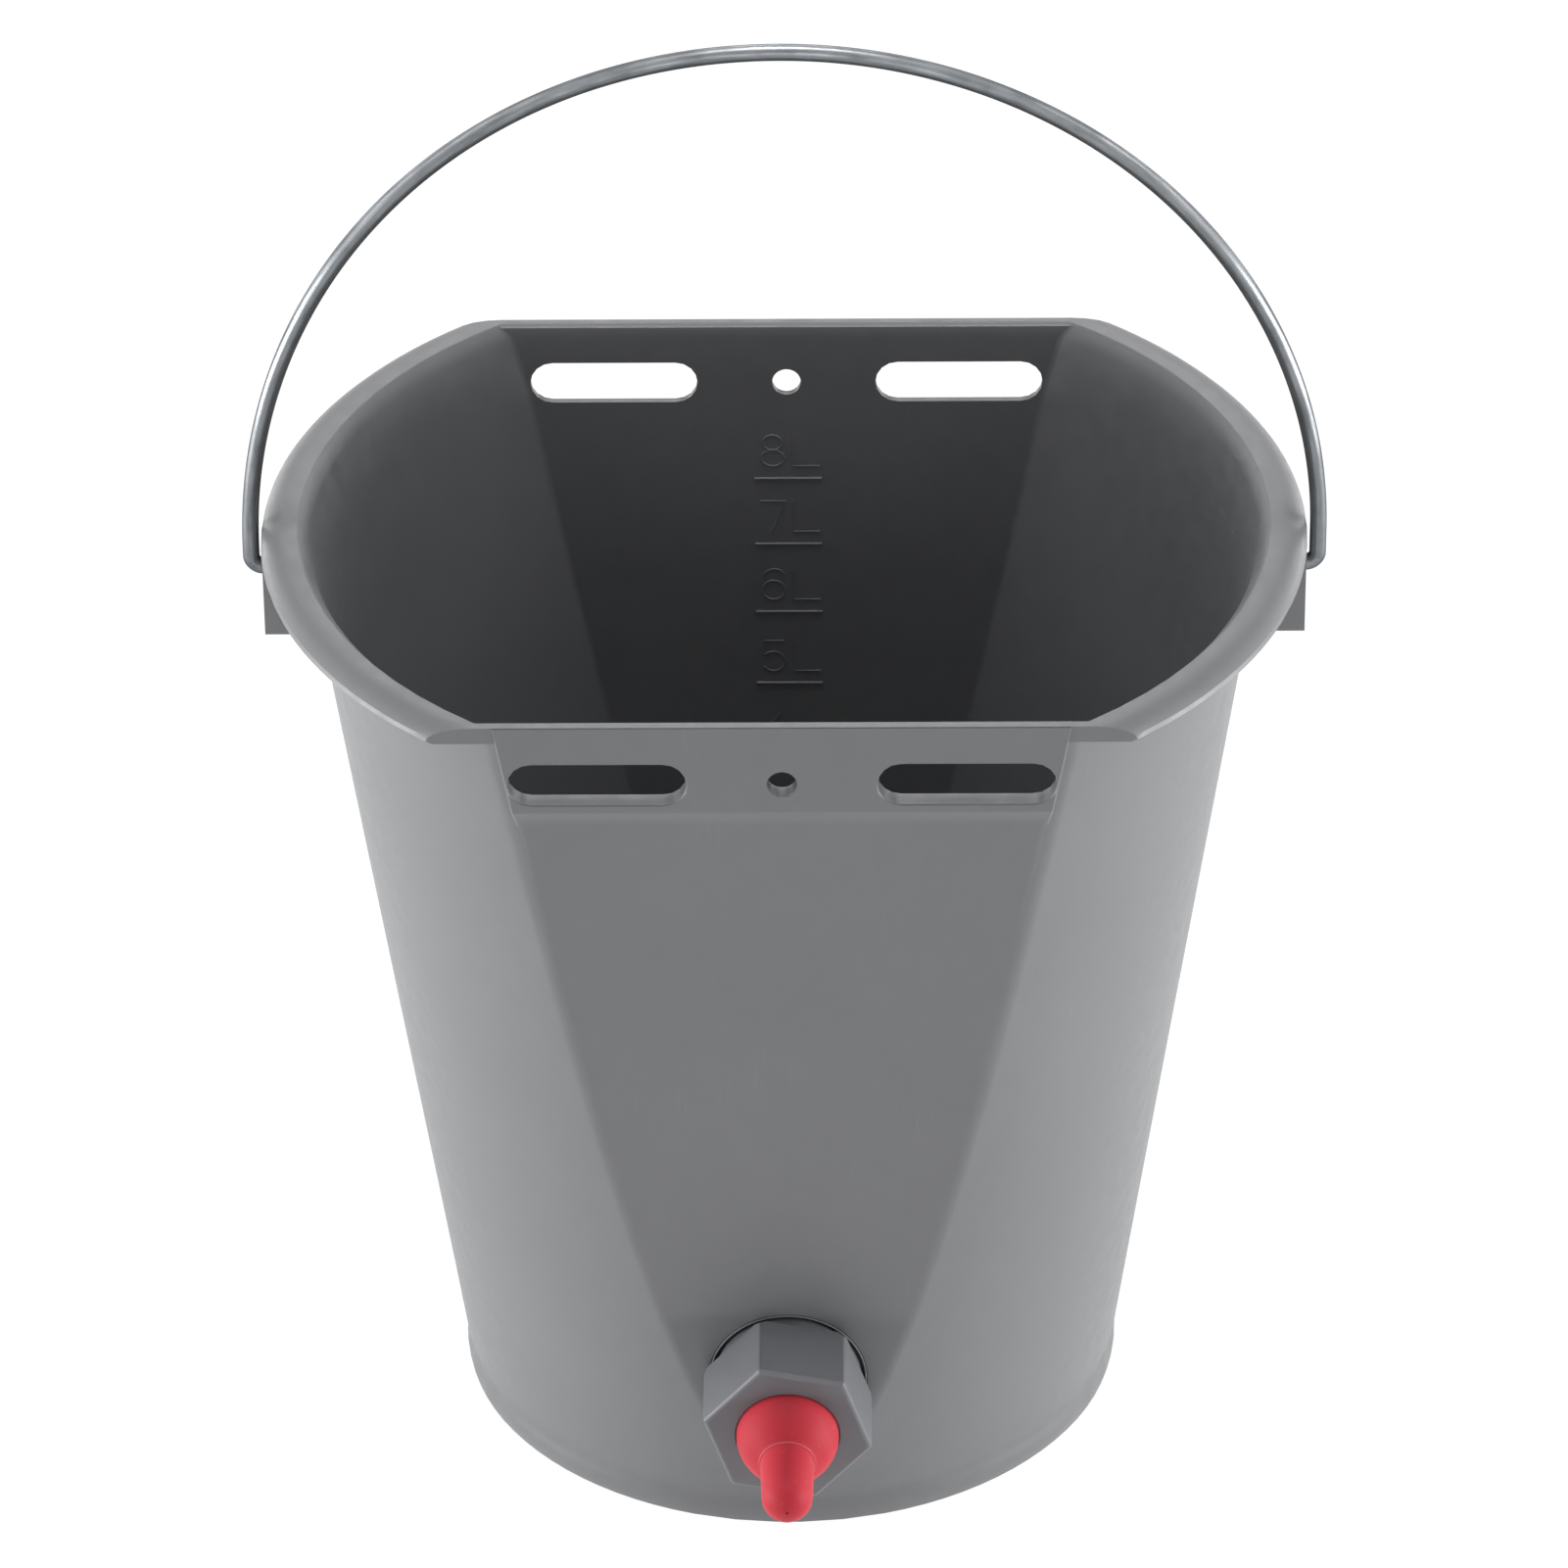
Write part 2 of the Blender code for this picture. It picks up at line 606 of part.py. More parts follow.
def make_valve_body(parts, guides, outlet, material):
    """Threaded barrel with a flange inside the bucket, a seat for the ball and guide ribs."""
    front, face = barrel_end(), flange_face()
    back = face - FLANGE_THICK
    # A 45 degree seat, tangent to a sphere one gap larger than the ball.
    apex = ball_rest() - (BALL_RADIUS + FIT_GAP) * sqrt(2)
    seat_start = apex + INLET_RADIUS
    seat_end = apex + CHAMBER_RADIUS
    pocket = cage_back() - FIT_GAP
    pocket_radius = CAGE_RADIUS + FIT_GAP
    profile = [
        (THREAD_ROOT - 0.0008, front), (THREAD_ROOT, front - 0.0008), (THREAD_ROOT, face),
        (FLANGE_RADIUS, face), (FLANGE_RADIUS, back), (INLET_RADIUS, back),
        (INLET_RADIUS, seat_start), (CHAMBER_RADIUS, seat_end), (CHAMBER_RADIUS, pocket),
        (pocket_radius, pocket), (pocket_radius, front),
    ]
    body = turned("valve_body", profile, parts, outlet, material)
    ridge = thread_ridge("barrel_thread", THREAD_ROOT, THREAD_CREST, THREAD_ROOT_WIDTH,
                         THREAD_CREST_WIDTH, 0.0020, front - 0.0022, guides, outlet)
    combine(body, ridge, "UNION")
    inner = BALL_RADIUS + BALL_GUIDE_GAP
    for index in range(GUIDE_RIBS):
        rib = box_mesh("guide_rib", (inner, -GUIDE_THICK / 2, seat_end - 0.0010),
                       (CHAMBER_RADIUS + 0.0008, GUIDE_THICK / 2, pocket))
        bar = add_object("guide_rib_%d" % index, rib, guides, outlet)
        bar.rotation_euler.z = 2 * pi * (index + 0.5) / GUIDE_RIBS
        combine(body, bar, "UNION")
    return body


def make_ball(parts, outlet, material):
    work = bmesh.new()
    bmesh.ops.create_uvsphere(work, u_segments=28, v_segments=16, radius=BALL_RADIUS)
    mesh = bpy.data.meshes.new("ball")
    work.to_mesh(mesh)
    work.free()
    smooth_faces(mesh)
    ball = add_object("ball", mesh, parts, outlet, material)
    ball.location.z = ball_rest()
    return ball


def make_ball_cage(parts, guides, outlet, material):
    """Pierced disc in the end of the barrel that keeps the ball in."""
    start = cage_back()
    mesh = cylinder_mesh("ball_cage", CAGE_RADIUS, start, start + CAGE_THICK)
    smooth_faces(mesh)
    cage = add_object("ball_cage", mesh, parts, outlet, material)
    for index in range(CAGE_HOLES):
        angle = 2 * pi * index / CAGE_HOLES
        hole = cylinder_mesh("cage_hole", CAGE_HOLE_RADIUS, start - 0.001, start + CAGE_THICK + 0.001, 16)
        cutter = add_object("cage_hole_%d" % index, hole, guides, outlet)
        cutter.location = (CAGE_HOLE_CIRCLE * cos(angle), CAGE_HOLE_CIRCLE * sin(angle), 0.0)
        combine(cage, cutter, "DIFFERENCE")
    return cage


def flat_ring(name, inner, outer, start, end, parts, outlet, material):
    profile = [(outer, end), (outer, start), (inner, start), (inner, end)]
    return turned(name, profile, parts, outlet, material)


def make_seals(parts, outlet, material):
    """One flat ring in the recess behind the nut, one behind the wall under the flange."""
    inner = THREAD_CREST + HOLE_CLEARANCE
    start = -SEAT_DEPTH + FIT_GAP
    flat_ring("outer_seal", inner, SEAT_RADIUS - OUTER_SEAL_MARGIN, start, start + OUTER_SEAL_THICK,
              parts, outlet, material)
    end = -(SEAT_DEPTH + SEAT_WALL) - FIT_GAP
    flat_ring("inner_seal", inner, FLANGE_RADIUS, end - INNER_SEAL_THICK, end, parts, outlet, material)


def hexagon(inset, distance, corner_cut):
    """A section of the nut, its corners cut, drawn in from the flats by the inset."""
    corner_radius = (NUT_FLATS / 2 - inset) / cos(pi / 6)
    reach = corner_cut / 2 / cos(pi / 6)
    points = []
    for index in range(6):
        angle = NUT_TURN + pi * index / 3
        corner = Vector((cos(angle), sin(angle), 0.0)) * corner_radius
        for turn in (-1, 1):
            along = angle + turn * 2 * pi / 3
            cut = corner + Vector((cos(along), sin(along), 0.0)) * reach
            points.append((cut.x, cut.y, distance))
    return points


def make_nut(parts, guides, outlet, material):
    """Hexagon cap nut: round collar behind, thread inside, a mouth for the teat in front."""
    sections = [hexagon(0.0, NUT_BACK, NUT_BACK_CORNER), hexagon(0.0, NUT_BACK + NUT_BACK_CUT, NUT_CORNER)]
    for step in range(4):
        angle = pi / 2 * step / 3
        distance = NUT_FACE - NUT_ROUNDING * (1 - sin(angle))
        sections.append(hexagon(NUT_ROUNDING * (1 - cos(angle)), distance, NUT_CORNER))
    nut = add_object("hex_nut", loft("hex_nut", sections), parts, outlet, material)

    collar_back = -SEAT_DEPTH + 2 * FIT_GAP + OUTER_SEAL_THICK
    collar_radius = NUT_FLATS / 2 - NUT_COLLAR_GAP
    collar = cylinder_mesh("nut_collar", collar_radius, collar_back, NUT_BACK + 0.004, 64)
    combine(nut, add_object("nut_collar", collar, guides, outlet), "UNION")

    thread_bore = THREAD_CREST + THREAD_CLEARANCE
    shoulder = NUT_FACE - NUT_FRONT_WALL
    cavity = cylinder_mesh("nut_bore", thread_bore, collar_back - 0.01, shoulder)
    combine(nut, add_object("nut_bore", cavity, guides, outlet), "DIFFERENCE")
    mouth = cylinder_mesh("nut_mouth", NUT_MOUTH, shoulder - 0.005, NUT_FACE + 0.005, 64)
    combine(nut, add_object("nut_mouth", mouth, guides, outlet), "DIFFERENCE")

    ridge = thread_ridge("nut_thread", thread_bore, THREAD_ROOT + THREAD_CLEARANCE,
                         NUT_RIDGE_ROOT_WIDTH, NUT_RIDGE_CREST_WIDTH, collar_back + 0.0030,
                         shoulder - TEAT_FLANGE_THICK - 0.0030, guides, outlet,
                         nut_phase(collar_back + 0.0030))
    combine(nut, ridge, "UNION")
    return nut


def nut_phase(start):
    """Turn of the nut's ridge that puts it half a pitch away from the barrel's."""
    barrel_start = 0.0020
    return 2 * pi * ((start - barrel_start) / THREAD_PITCH + 0.5)


def teat_profile():
    """Outside from the milk hole back to the flange, then the inside forward again."""
    flange_back = barrel_end() + FIT_GAP
    flange_front = flange_back + TEAT_FLANGE_THICK
    neck = NUT_MOUTH - TEAT_NECK_GAP
    tip_centre = NUT_FACE + NIPPLE_TIP_CENTRE
    tip = tip_centre + NIPPLE_TIP_RADIUS
    outside = []
    first = asin(MILK_HOLE_RADIUS / NIPPLE_TIP_RADIUS)
    for step in range(7):
        angle = first + (pi / 2 - first) * step / 6
        outside.append((NIPPLE_TIP_RADIUS * sin(angle), tip_centre + NIPPLE_TIP_RADIUS * cos(angle)))
    # Hollow fillet between the nipple and the dome, tangent to both.
    fillet_r = NIPPLE_ROOT_RADIUS + NIPPLE_FILLET
    reach = TEAT_DOME_RADIUS + NIPPLE_FILLET
    fillet_z = NUT_FACE + sqrt(reach ** 2 - fillet_r ** 2)
    meet = acos(fillet_r / reach)
    for step in range(5):
        angle = pi + meet * step / 4
        outside.append((fillet_r + NIPPLE_FILLET * cos(angle), fillet_z + NIPPLE_FILLET * sin(angle)))
    for step in range(1, 8):
        angle = meet * (1 - step / 7)
        outside.append((TEAT_DOME_RADIUS * cos(angle), NUT_FACE + TEAT_DOME_RADIUS * sin(angle)))
    outside += [(neck, NUT_FACE - 0.0004), (neck, flange_front), (TEAT_FLANGE_RADIUS, flange_front),
                (TEAT_FLANGE_RADIUS, flange_back)]

    inner_dome = TEAT_DOME_RADIUS - TEAT_WALL
    meet_inner = acos(NIPPLE_BORE / inner_dome)
    inside = [(inner_dome, flange_back)]
    for step in range(6):
        angle = meet_inner * step / 5
        inside.append((inner_dome * cos(angle), NUT_FACE + inner_dome * sin(angle)))
    bore_end = tip - NIPPLE_TIP_WALL
    inside += [(NIPPLE_BORE, bore_end - NIPPLE_BORE)]
    for step in (1, 2):
        angle = pi / 2 * step / 3
        inside.append((NIPPLE_BORE * cos(angle), bore_end - NIPPLE_BORE * (1 - sin(angle))))
    inside.append((MILK_HOLE_RADIUS, bore_end))
    return outside + inside


def make_outlet_axis(parts):
    """Empty on the panel's face whose Z points out of the bucket, square to the panel."""
    axis = bpy.data.objects.new("outlet_axis", None)
    parts.objects.link(axis)
    axis.location = (0.0, -flat_distance(OUTLET_HEIGHT), OUTLET_HEIGHT)
    axis.rotation_euler.x = pi / 2 + FLAT_LEAN
    return axis


def main():
    remove_objects()
    parts = new_collection("teat_feeder_bucket")
    guides = new_collection("guides")
    grey = plain_material("grey_plastic", (0.175, 0.178, 0.182), 0.5)
    steel = plain_material("galvanised_steel", (0.52, 0.53, 0.54), 0.35, 1.0)
    red = plain_material("red_rubber", (0.50, 0.045, 0.065), 0.6)
    black = plain_material("black_rubber", (0.012, 0.012, 0.012), 0.7)
    white = plain_material("white_plastic", (0.72, 0.72, 0.70), 0.4)

    outlet = make_outlet_axis(parts)
    make_bucket(parts, guides, outlet, grey)
    make_bail(parts, steel)
    make_valve_body(parts, guides, outlet, white)
    make_ball(parts, outlet, black)
    make_ball_cage(parts, guides, outlet, white)
    make_seals(parts, outlet, black)
    make_nut(parts, guides, outlet, grey)
    turned("teat", teat_profile(), parts, outlet, red)


main()
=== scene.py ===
from math import cos, pi, radians, sin, tan

import bmesh
import bpy
from mathutils import Matrix, Vector


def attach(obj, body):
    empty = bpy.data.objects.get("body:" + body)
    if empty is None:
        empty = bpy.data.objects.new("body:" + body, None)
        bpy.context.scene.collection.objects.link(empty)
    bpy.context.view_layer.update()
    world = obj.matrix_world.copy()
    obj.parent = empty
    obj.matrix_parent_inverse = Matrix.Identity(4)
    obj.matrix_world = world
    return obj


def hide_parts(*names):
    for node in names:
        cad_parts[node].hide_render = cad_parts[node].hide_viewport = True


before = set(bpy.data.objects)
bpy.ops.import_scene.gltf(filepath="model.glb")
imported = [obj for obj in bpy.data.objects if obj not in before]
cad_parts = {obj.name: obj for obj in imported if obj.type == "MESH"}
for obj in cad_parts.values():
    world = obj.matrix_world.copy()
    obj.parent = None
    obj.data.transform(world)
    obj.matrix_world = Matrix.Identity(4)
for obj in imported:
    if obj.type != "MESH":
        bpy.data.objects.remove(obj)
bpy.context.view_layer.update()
scene = bpy.context.scene
weld = 0.000002     # corners closer than this are one


def newObject(name, data, body, replaced=()):
    piece = bpy.data.objects.new(name, data)
    scene.collection.objects.link(piece)
    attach(piece, body)
    if replaced:
        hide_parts(*replaced)
    return piece


def smoothByAngle(mesh, angle):
    mesh.shade_smooth()
    mesh.set_sharp_from_angle(angle=radians(angle))


panelFace = {"rim": 0.1097, "height": 0.283, "lean": radians(2.6)}      # outside of a flat panel

turnedWall = {
    # every ring of the turned surfaces gets a corner more between each two
    "clear": 0.0040,            # corners closer to a panel than this are left alone
    "inner": 0.080,             # and those nearer the middle
    "skirt": (0.0148, 0.0955),  # and under this height those nearer than this
    "flat": [
        # and edges that end in these boxes, from and to across, along and up, on either side
        ((0.126, 0.200), (-0.001, 0.0105), (0.240, 0.2800)),    # the ears
        ((0.000, 0.200), (0.0900, 0.2000), (0.2775, 0.2786)),   # corners under the lip
    ],
    "rise": 0.0001, "swell": 0.0003,    # an edge of a ring may climb or widen by this
    "turn": radians(12),        # and turns by no more than this
    "padEnd": 0.2483,           # the pad runs out into the front panel along this line
    "padReach": 0.0003, "padFront": 0.1,
}


def panelDistance(height):
    return panelFace["rim"] - (panelFace["height"] - height) * tan(panelFace["lean"])


def inFlat(place):
    where = (abs(place.x), abs(place.y), place.z)
    return any(all(low < part < high for part, (low, high) in zip(where, box))
               for box in turnedWall["flat"])


def inRing(first, second, radius):
    # whether the edge between two corners is part of a level ring on a turned surface
    height = (first.z + second.z) / 2
    skirtTop, skirtInner = turnedWall["skirt"]
    nearPanel = panelDistance(height) - turnedWall["clear"]
    if radius <= (skirtInner if height < skirtTop else turnedWall["inner"]):
        return False
    if abs(first.y) > nearPanel and abs(second.y) > nearPanel:
        return False
    level = abs(first.z - second.z) < turnedWall["rise"]
    even = abs(radius - second.xy.length) < turnedWall["swell"]
    short = first.xy.angle(second.xy) < turnedWall["turn"]
    return level and even and short and not inFlat(first) and not inFlat(second)


def roundOff(work):
    # new corners in the middle of each ring's edges, pushed out to the ring's own radius
    rings = {}
    for edge in work.edges:
        first, second = (corner.co for corner in edge.verts)
        radius = (first.xy.length + second.xy.length) / 2
        if inRing(first, second, radius):
            rings[edge] = ((first + second) / 2, radius)
    wanted = {tuple(round(part, 6) for part in middle): radius for middle, radius in rings.values()}
    bmesh.ops.subdivide_edges(work, edges=list(rings), cuts=1, use_grid_fill=True)
    for corner in work.verts:
        radius = wanted.get(tuple(round(part, 6) for part in corner.co))
        if radius:
            corner.co.xy *= radius / corner.co.xy.length


def markSharp(mesh):
    # the pad's end is crisp, though the faces there turn little
    for edge in mesh.edges:
        ends = [mesh.vertices[corner].co for corner in edge.vertices]
        if all(abs(place.z - turnedWall["padEnd"]) < turnedWall["padReach"]
               and place.y < -turnedWall["padFront"] for place in ends):
            edge.use_edge_sharp = True


def mergedCopy(node, piece, body, sharpAngle=32, flatAngle=0.4):
    # the same shape as the CAD node, with its loose triangles welded and smoothed
    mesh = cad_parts[node].data.copy()
    mesh.name = piece
    mesh.materials.clear()
    for layer in list(mesh.uv_layers):
        mesh.uv_layers.remove(layer)
    if mesh.attributes.get("custom_normal"):
        mesh.attributes.remove(mesh.attributes["custom_normal"])
    work = bmesh.new()
    work.from_mesh(mesh)
    bmesh.ops.remove_doubles(work, verts=work.verts, dist=weld)
    bmesh.ops.dissolve_limit(work, angle_limit=radians(flatAngle), verts=work.verts, edges=work.edges)
    if node == "bucket":
        roundOff(work)
    bmesh.ops.recalc_face_normals(work, faces=work.faces)
    work.to_mesh(mesh)
    work.free()
    smoothByAngle(mesh, sharpAngle)
    if node == "bucket":
        markSharp(mesh)
    return newObject(piece, mesh, body, (node,))


def strokeMesh(name, strokes, depth, roundness):
    # round strokes, each a list of (point, thickness), turned into one closed mesh
    data = bpy.data.curves.new(name, "CURVE")
    data.dimensions = "3D"
    data.bevel_depth = depth
    data.bevel_resolution = roundness
    data.use_fill_caps = True
    for stroke in strokes:
        spline = data.splines.new("POLY")
        # a stroke that ends where it starts is a closed ring
        if len(stroke) > 2 and (Vector(stroke[0][0]) - Vector(stroke[-1][0])).length < weld:
            stroke, spline.use_cyclic_u = stroke[:-1], True
        spline.points.add(len(stroke) - 1)
        for point, (place, thickness) in zip(spline.points, stroke):
            point.co = (*place, 1.0)
            point.radius = thickness
    holder = bpy.data.objects.new(name, data)
    mesh = bpy.data.meshes.new_from_object(holder)
    bpy.data.objects.remove(holder)
    work = bmesh.new()
    work.from_mesh(mesh)
    bmesh.ops.remove_doubles(work, verts=work.verts, dist=weld)
    bmesh.ops.recalc_face_normals(work, faces=work.faces)
    work.to_mesh(mesh)
    work.free()
    mesh.materials.clear()
    return mesh


class Shade:
    # a small wrapper: nodes are added and linked by name of socket
    def __init__(self, name):
        self.material = bpy.data.materials.new(name)
        self.material.use_nodes = True
        self.nodes = self.material.node_tree.nodes
        self.links = self.material.node_tree.links
        self.shader = self.nodes["Principled BSDF"]
        self.coords = self.nodes.new("ShaderNodeTexCoord").outputs["Object"]

    def fix(self, **values):
        for socket, value in values.items():
            self.shader.inputs[socket.replace("_", " ")].default_value = value

    def feed(self, socket, source):
        self.links.new(source, self.shader.inputs[socket])

    def stretched(self, scale, source=None):
        node = self.nodes.new("ShaderNodeMapping")
        node.inputs["Scale"].default_value = scale
        self.links.new(source or self.coords, node.inputs["Vector"])
        return node.outputs["Vector"]

    def noise(self, scale, detail=3.0, rough=0.5, source=None, distortion=0.0):
        node = self.nodes.new("ShaderNodeTexNoise")
        node.inputs["Scale"].default_value = scale
        node.inputs["Detail"].default_value = detail
        node.inputs["Roughness"].default_value = rough
        node.inputs["Distortion"].default_value = distortion
        self.links.new(source or self.coords, node.inputs["Vector"])
        return node.outputs["Fac"]

    def remap(self, source, low, high, newLow, newHigh):
        node = self.nodes.new("ShaderNodeMapRange")
        node.inputs["From Min"].default_value = low
        node.inputs["From Max"].default_value = high
        node.inputs["To Min"].default_value = newLow
        node.inputs["To Max"].default_value = newHigh
        self.links.new(source, node.inputs["Value"])
        return node.outputs["Result"]

    def mix(self, factor, first, second, mode="MIX"):
        node = self.nodes.new("ShaderNodeMix")
        node.data_type = "RGBA"
        node.blend_type = mode
        wanted = zip((node.inputs[0], node.inputs[6], node.inputs[7]), (factor, first, second))
        for socket, value in wanted:
            if hasattr(value, "is_output"):
                self.links.new(value, socket)
            else:
                socket.default_value = value
        return node.outputs[2]

    def onMap(self, scale):
        node = self.nodes.new("ShaderNodeUVMap")
        return self.stretched(scale, node.outputs["UV"])

    def product(self, first, second):
        node = self.nodes.new("ShaderNodeMath")
        node.operation = "MULTIPLY"
        self.links.new(first, node.inputs[0])
        self.links.new(second, node.inputs[1])
        return node.outputs[0]

    def sum(self, *parts):
        total = None
        for source, weight in parts:
            node = self.nodes.new("ShaderNodeMath")
            node.operation = "MULTIPLY_ADD"
            self.links.new(source, node.inputs[0])
            node.inputs[1].default_value = weight
            if total is None:
                node.inputs[2].default_value = 0.0
            else:
                self.links.new(total, node.inputs[2])
            total = node.outputs[0]
        return total

    def bump(self, height, strength, distance, under=None):
        node = self.nodes.new("ShaderNodeBump")
        node.inputs["Strength"].default_value = strength
        node.inputs["Distance"].default_value = distance
        self.links.new(height, node.inputs["Height"])
        if under:
            self.links.new(under, node.inputs["Normal"])
        return node.outputs["Normal"]


def linear(hexColour):
    parts = [int(hexColour[i:i + 2], 16) / 255 for i in (0, 2, 4)]
    return [p / 12.92 if p <= 0.04045 else ((p + 0.055) / 1.055) ** 2.4 for p in parts] + [1.0]


plasticLook = {
    # name: (colour, paler colour, roughness, strength of scuffs)
    "greyPlastic": ("6e6f71", "727375", 0.44, 0.55),
    "nutPlastic": ("636468", "67686c", 0.42, 0.45),
    "whitePlastic": ("d9d8d2", "dfded9", 0.38, 0.20),
}


def mouldedPlastic(name):
    colour, paler, roughness, scuffs = plasticLook[name]
    s = Shade(name)
    cloud = s.noise(14, 4, 0.55)
    mottle = s.noise(160, 3, 0.6)
    grain = s.noise(2600, 2, 0.5)
    # fine upright rubs from stacking, broken up by a slower noise
    rubs = s.noise(1.0, 3, 0.7, s.stretched((900, 900, 22)))
    patches = s.remap(s.noise(26, 4, 0.6), 0.52, 0.72, 0.0, 1.0)
    worn = s.product(s.remap(rubs, 0.60, 0.74, 0.0, 1.0), patches)
    blend = s.remap(s.sum((cloud, 0.6), (mottle, 0.4)), 0.35, 0.65, 0.0, 1.0)
    plain = s.mix(blend, linear(colour), linear(paler))
    s.feed("Base Color", s.mix(s.remap(worn, 0, 1, 0.0, scuffs * 0.3), plain, linear("a5a6a8")))
    s.feed("Roughness", s.sum((s.remap(mottle, 0.3, 0.7, roughness - 0.05, roughness + 0.06), 1.0),
                              (worn, 0.12)))
    s.feed("Normal", s.bump(grain, 0.10, 0.0002, s.bump(cloud, 0.2, 0.0006)))
    s.fix(Specular_IOR_Level=0.45)
    return s.material


wireLook = {
    "dull": "6c6f72",
    "clean": "8f9295",
    "edge": (0.14, 0.145, 0.15, 1.0),       # reflection at glancing angles
    "roughness": (0.32, 0.42),
    "metallic": 0.82,           # the rest is the dull zinc skin
}


def wireMetal():
    # drawn wire: streaks run along it, on the curve's own map, under a thin dull zinc skin
    s = Shade("galvanisedWire")
    along = s.onMap((1.0, 1.0, 1.0))
    streaks = s.noise(1.0, 3, 0.55, s.stretched((34, 9, 1), along))
    cloud = s.noise(90, 3, 0.6)
    mixed = s.remap(s.sum((streaks, 0.65), (cloud, 0.35)), 0.38, 0.62, 0.0, 1.0)
    s.feed("Base Color", s.mix(mixed, linear(wireLook["dull"]), linear(wireLook["clean"])))
    s.feed("Roughness", s.remap(mixed, 0.0, 1.0, wireLook["roughness"][1], wireLook["roughness"][0]))
    s.feed("Normal", s.bump(streaks, 0.08, 0.0002))
    s.fix(Metallic=wireLook["metallic"], Specular_Tint=wireLook["edge"])
    return s.material


teatLook = {"colour": "ab2330", "paler": "b62c3a", "scuff": "cf7d86", "sheen": (1.0, 0.62, 0.66, 1.0)}


def teatRubber():
    # soft rubber with a bloom at glancing angles and small pale rubs
    s = Shade("redRubber")
    cloud = s.noise(90, 4, 0.6)
    grain = s.noise(2200, 2, 0.5)
    rubs = s.remap(s.noise(420, 4, 0.72), 0.60, 0.74, 0.0, 0.42)
    where = s.remap(s.noise(120, 2, 0.5), 0.46, 0.62, 0.0, 1.0)
    plain = s.mix(cloud, linear(teatLook["colour"]), linear(teatLook["paler"]))
    s.feed("Base Color", s.mix(s.product(rubs, where), plain, linear(teatLook["scuff"])))
    s.feed("Roughness", s.remap(cloud, 0.3, 0.7, 0.56, 0.70))
    s.feed("Normal", s.bump(grain, 0.12, 0.0002))
    s.fix(Specular_IOR_Level=0.25, Subsurface_Weight=0.25, Subsurface_Scale=0.006)
    s.fix(Sheen_Weight=0.08, Sheen_Roughness=0.45, Sheen_Tint=teatLook["sheen"])
    return s.material


def makePaintedHighlightRubber(name):
    # pale rubber that paints the highlight on the fillet at the nipple's root
    s = Shade(name)
    s.feed("Base Color", s.mix(s.noise(300, 3, 0.6), linear(teatLook["paler"]), linear("d98d95")))
    s.fix(Roughness=0.6, Specular_IOR_Level=0.25)
    return s.material


def darkRubber(name, colour, paler):
    s = Shade(name)
    cloud = s.noise(150, 4, 0.6)
    s.feed("Base Color", s.mix(cloud, linear(colour), linear(paler)))
    s.feed("Roughness", s.remap(cloud, 0.3, 0.7, 0.55, 0.72))
    s.feed("Normal", s.bump(s.noise(1800, 2, 0.5), 0.15, 0.0002))
    return s.material


print("stage: materials")
greyPlastic = mouldedPlastic("greyPlastic")
nutPlastic = mouldedPlastic("nutPlastic")
whitePlastic = mouldedPlastic("whitePlastic")
wire = wireMetal()
redRubber = teatRubber()
# pale rubber for the painted highlight at the nipple's root
paintedHighlightRubber = makePaintedHighlightRubber("paintedHighlightRubber")
sealRubber = darkRubber("sealRubber", "1d1d1d", "2c2c2c")
ballRubber = darkRubber("ballRubber", "222222", "303030")

print("stage: bucket, nut, teat and valve")
carriedOver = {
    # node: (piece, body, material slot, material)
    "bucket": ("bucketShell", "bucket", "grey_plastic", greyPlastic),
    "hex_nut": ("capNut", "nut", "nut_plastic", nutPlastic),
    "teat": ("rubberTeat", "teat", "red_rubber", redRubber),
    "valve_body": ("valveBody", "bucket", "white_plastic", whitePlastic),
    "ball": ("valveBall", "ball", "ball_rubber", ballRubber),
    "ball_cage": ("ballCage", "bucket", "white_plastic", whitePlastic),
    "outer_seal": ("outerSeal", "bucket", "black_rubber", sealRubber),
    "inner_seal": ("innerSeal", "bucket", "black_rubber", sealRubber),
}
for node, (piece, body, slotName, material) in carriedOver.items():
    made = mergedCopy(node, piece, body)
    made.data.materials.append(material)
    flats = made.modifiers.new("flats stay flat", "WEIGHTED_NORMAL")
    flats.keep_sharp = True

outlet = {
    # the line of the outlet leaves the front panel square to its face
    "start": Vector((0.0, -0.099297, 0.0539)),
    "lean": radians(2.6),
    # rings: body, material, radius, distance along the outlet, half width
    "teatPaintedHighlightRing": ("teat", "paintedHighlightRubber", 0.0080, 0.0390, 0.00014),     # pale ring painted as the highlight on the fillet at the nipple's root
    "recessRing": ("bucket", "greyPlastic", 0.02235, -0.00005, 0.00026),    # edge of the recess
    "steps": (96, 10),          # corners round a ring and round its section
}


def outletPlace(distance):
    turn = Matrix.Rotation(pi / 2 + outlet["lean"], 4, "X")
    return Matrix.Translation(outlet["start"]) @ turn @ Matrix.Translation((0, 0, distance))


